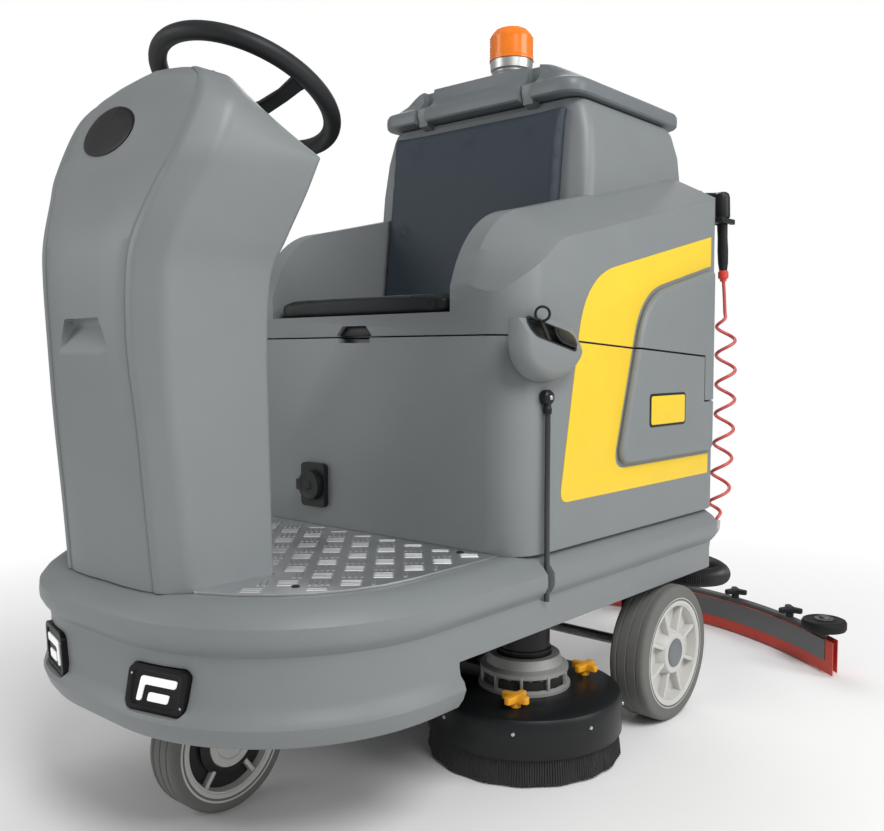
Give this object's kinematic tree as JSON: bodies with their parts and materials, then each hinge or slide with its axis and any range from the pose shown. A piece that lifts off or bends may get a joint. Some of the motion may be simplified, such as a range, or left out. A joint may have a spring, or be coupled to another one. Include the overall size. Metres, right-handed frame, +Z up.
{
  "type": "ride-on floor scrubber",
  "caption": "Ride-on floor scrubber with a steering column, seat, tilting tank body, brush deck and rear squeegee.",
  "frame": {"origin": "on the floor under the middle of the front drive wheel", "axes": "+Y towards the rear, +X to the machine's left, +Z up"},
  "size_m": [1.2354, 1.9606, 1.5826],
  "materials": {
    "body_grey": "fine grained moulded plastic",
    "lid_grey": "fine grained moulded plastic, darker",
    "squeegee_grey": "powder coated",
    "black_plastic": "moulded, satin",
    "black_steel": "powder coated, satin",
    "bright_steel": "machined",
    "tread_plate": "raised bar tread",
    "black_rubber": "ribbed",
    "grey_tyre": "non-marking grey rubber",
    "wheel_centre": "pale moulded plastic",
    "bristle_black": "dense bristle",
    "knob_yellow": "moulded, satin",
    "stop_red": "moulded, satin",
    "hose_red": "smooth polyurethane",
    "blade_red": "cut sheet rubber",
    "hose_black": "corrugated",
    "backrest_slate": "textured vinyl",
    "seat_black": "textured vinyl",
    "beacon_orange": "moulded lens",
    "clear_tube": "clear flexible tube"
  },
  "bodies": {
    "chassis": {"base_shell": "body_grey", "chassis_frame": "black_steel", "footplate": "tread_plate", "front_column": "body_grey", "lamp_housing_left": "black_plastic", "lamp_housing_right": "black_plastic", "lower_tank": "body_grey", "battery_pack": "black_plastic", "tank_hinge_pin": "bright_steel", "charge_socket": "black_plastic", "filler_pocket": "body_grey", "tube_elbow": "black_plastic", "level_tube": "clear_tube", "rear_axle": "bright_steel", "suction_hose": "hose_black", "recoil_hose": "hose_red"},
    "fork": {"front_fork": "black_steel"},
    "drive_wheel": {"front_rim": "wheel_centre", "front_tyre": "grey_tyre"},
    "steering": {"steering_wheel": "black_plastic", "steering_shaft": "bright_steel"},
    "rear_wheel_left": {"rear_rim_left": "wheel_centre", "rear_tyre_left": "grey_tyre"},
    "rear_wheel_right": {"rear_rim_right": "wheel_centre", "rear_tyre_right": "grey_tyre"},
    "brush_deck": {"deck_beam": "black_steel", "brush_motor_left": "black_steel", "brush_motor_right": "black_steel", "brush_cover_left": "black_plastic", "brush_cover_right": "black_plastic"},
    "scrub_brush_left": {"brush_left": "bristle_black"},
    "scrub_brush_right": {"brush_right": "bristle_black"},
    "squeegee_lever": {"squeegee_arm": "black_steel"},
    "squeegee": {"squeegee_bar": "squeegee_grey", "squeegee_blade_front": "blade_red", "squeegee_blade_rear": "blade_red"},
    "roller_left": {"bumper_roller_left": "black_plastic"},
    "roller_right": {"bumper_roller_right": "black_plastic"},
    "upper_body": {"recovery_tank": "body_grey", "seat_cushion": "seat_black", "backrest_pad": "backrest_slate", "spray_gun": "black_plastic"},
    "lid": {"tank_lid": "lid_grey", "lid_pin": "bright_steel", "beacon_base": "black_plastic", "beacon_lens": "beacon_orange"},
    "trigger": {"gun_trigger": "black_plastic"},
    "pedal": {"accelerator_pedal": "black_rubber"},
    "charge_door": {"charge_flap": "black_plastic"},
    "filler_lid": {"filler_cap": "black_plastic"},
    "key": {"key_switch": "bright_steel"},
    "stop_button": {"emergency_stop": "stop_red"},
    "deck_knob_left_1": {"deck_knob_left_1": "knob_yellow"},
    "deck_knob_left_2": {"deck_knob_left_2": "knob_yellow"},
    "deck_knob_right_1": {"deck_knob_right_1": "knob_yellow"},
    "deck_knob_right_2": {"deck_knob_right_2": "knob_yellow"},
    "squeegee_knob_1": {"squeegee_knob_1": "black_plastic"},
    "squeegee_knob_2": {"squeegee_knob_2": "black_plastic"},
    "squeegee_knob_3": {"squeegee_knob_3": "black_plastic"},
    "squeegee_knob_4": {"squeegee_knob_4": "black_plastic"}
  },
  "joints": [
    {"name": "fork_steer", "type": "hinge", "parent": "chassis", "child": "fork", "pos_m": [0, 0, 0.3], "axis": [0, 0, 1], "range_deg": [-60, 60]},
    {"name": "drive_wheel_spin", "type": "hinge", "parent": "fork", "child": "drive_wheel", "pos_m": [0, 0, 0.12393], "axis": [1, 0, 0], "continuous": true},
    {"name": "steering_wheel_turn", "type": "hinge", "parent": "chassis", "child": "steering", "pos_m": [0, 0.075, 1.267], "axis": [0, 0.4305, 0.9026], "range_deg": [-216, 216]},
    {"name": "rear_wheel_left_spin", "type": "hinge", "parent": "chassis", "child": "rear_wheel_left", "pos_m": [0.3885, 0.9, 0.14872], "axis": [1, 0, 0], "continuous": true},
    {"name": "rear_wheel_right_spin", "type": "hinge", "parent": "chassis", "child": "rear_wheel_right", "pos_m": [-0.3885, 0.9, 0.14872], "axis": [1, 0, 0], "continuous": true},
    {"name": "brush_deck_lift", "type": "slide", "parent": "chassis", "child": "brush_deck", "axis": [0, 0, 1], "range_m": [0, 0.045]},
    {"name": "brush_left_spin", "type": "hinge", "parent": "brush_deck", "child": "scrub_brush_left", "pos_m": [0.262, 0.562, 0.1], "axis": [0, 0, 1], "continuous": true},
    {"name": "brush_right_spin", "type": "hinge", "parent": "brush_deck", "child": "scrub_brush_right", "pos_m": [-0.262, 0.562, 0.1], "axis": [0, 0, 1], "continuous": true},
    {"name": "squeegee_lift", "type": "hinge", "parent": "chassis", "child": "squeegee_lever", "pos_m": [0, 1.02, 0.25], "axis": [1, 0, 0], "range_deg": [0, 6], "deforming": ["suction_hose"]},
    {"name": "squeegee_swivel", "type": "hinge", "parent": "squeegee_lever", "child": "squeegee", "pos_m": [0, 1.667, 0.15], "axis": [0, 0, 1], "range_deg": [-12, 12]},
    {"name": "roller_left_spin", "type": "hinge", "parent": "squeegee", "child": "roller_left", "pos_m": [0.563, 1.45412, 0.115], "axis": [0, 0, 1], "continuous": true},
    {"name": "roller_right_spin", "type": "hinge", "parent": "squeegee", "child": "roller_right", "pos_m": [-0.563, 1.45412, 0.115], "axis": [0, 0, 1], "continuous": true},
    {"name": "upper_body_tilt", "type": "hinge", "parent": "chassis", "child": "upper_body", "pos_m": [0, 1.173, 0.7], "axis": [1, 0, 0], "range_deg": [-45, 0], "deforming": ["recoil_hose"]},
    {"name": "lid_hinge", "type": "hinge", "parent": "upper_body", "child": "lid", "pos_m": [0, 0.718, 1.383], "axis": [1, 0, 0], "range_deg": [0, 70]},
    {"name": "gun_trigger_pull", "type": "hinge", "parent": "upper_body", "child": "trigger", "pos_m": [0.362, 1.205, 1.16], "axis": [0, 1, 0], "range_deg": [-8, 0], "stiffness_Nm_per_rad": 0.3, "springref_deg": 11.46},
    {"name": "pedal_press", "type": "hinge", "parent": "chassis", "child": "pedal", "pos_m": [-0.27, 0.03, 0.462], "axis": [1, 0, 0], "range_deg": [0, 12], "stiffness_Nm_per_rad": 1.5, "springref_deg": -14.32},
    {"name": "charge_flap_hinge", "type": "hinge", "parent": "chassis", "child": "charge_door", "pos_m": [-0.149, 0.3124, 0.534], "axis": [0, 0, 1], "range_deg": [-100, 0], "stiffness_Nm_per_rad": 0.03, "springref_deg": 22.92},
    {"name": "filler_cap_hinge", "type": "hinge", "parent": "chassis", "child": "filler_lid", "pos_m": [0.4268, 0.413, 0.841], "axis": [1, 0, 0], "range_deg": [0, 80]},
    {"name": "key_turn", "type": "hinge", "parent": "chassis", "child": "key", "pos_m": [-0.085, -0.01721, 1.1929], "axis": [0, 0.7202, 0.6938], "range_deg": [0, 60]},
    {"name": "emergency_stop_push", "type": "slide", "parent": "chassis", "child": "stop_button", "axis": [0, 0.7202, 0.6938], "range_m": [-0.004, 0]},
    {"name": "deck_knob_left_1_turn", "type": "hinge", "parent": "brush_deck", "child": "deck_knob_left_1", "pos_m": [0.33, 0.44, 0.14], "axis": [0, 0, 1], "range_deg": [0, 180]},
    {"name": "deck_knob_left_2_turn", "type": "hinge", "parent": "brush_deck", "child": "deck_knob_left_2", "pos_m": [0.33, 0.684, 0.14], "axis": [0, 0, 1], "range_deg": [0, 180]},
    {"name": "deck_knob_right_1_turn", "type": "hinge", "parent": "brush_deck", "child": "deck_knob_right_1", "pos_m": [-0.33, 0.44, 0.14], "axis": [0, 0, 1], "range_deg": [0, 180]},
    {"name": "deck_knob_right_2_turn", "type": "hinge", "parent": "brush_deck", "child": "deck_knob_right_2", "pos_m": [-0.33, 0.684, 0.14], "axis": [0, 0, 1], "range_deg": [0, 180]},
    {"name": "squeegee_knob_1_turn", "type": "hinge", "parent": "squeegee", "child": "squeegee_knob_1", "pos_m": [-0.445, 1.53338, 0.11], "axis": [0, 0, 1], "range_deg": [0, 180]},
    {"name": "squeegee_knob_2_turn", "type": "hinge", "parent": "squeegee", "child": "squeegee_knob_2", "pos_m": [-0.25, 1.62825, 0.11], "axis": [0, 0, 1], "range_deg": [0, 180]},
    {"name": "squeegee_knob_3_turn", "type": "hinge", "parent": "squeegee", "child": "squeegee_knob_3", "pos_m": [0.25, 1.62825, 0.11], "axis": [0, 0, 1], "range_deg": [0, 180]},
    {"name": "squeegee_knob_4_turn", "type": "hinge", "parent": "squeegee", "child": "squeegee_knob_4", "pos_m": [0.445, 1.53338, 0.11], "axis": [0, 0, 1], "range_deg": [0, 180]}
  ],
  "couplings": [
    {"joint": "steering_wheel_turn", "follows": "fork_steer", "ratio": 3.6}
  ]
}
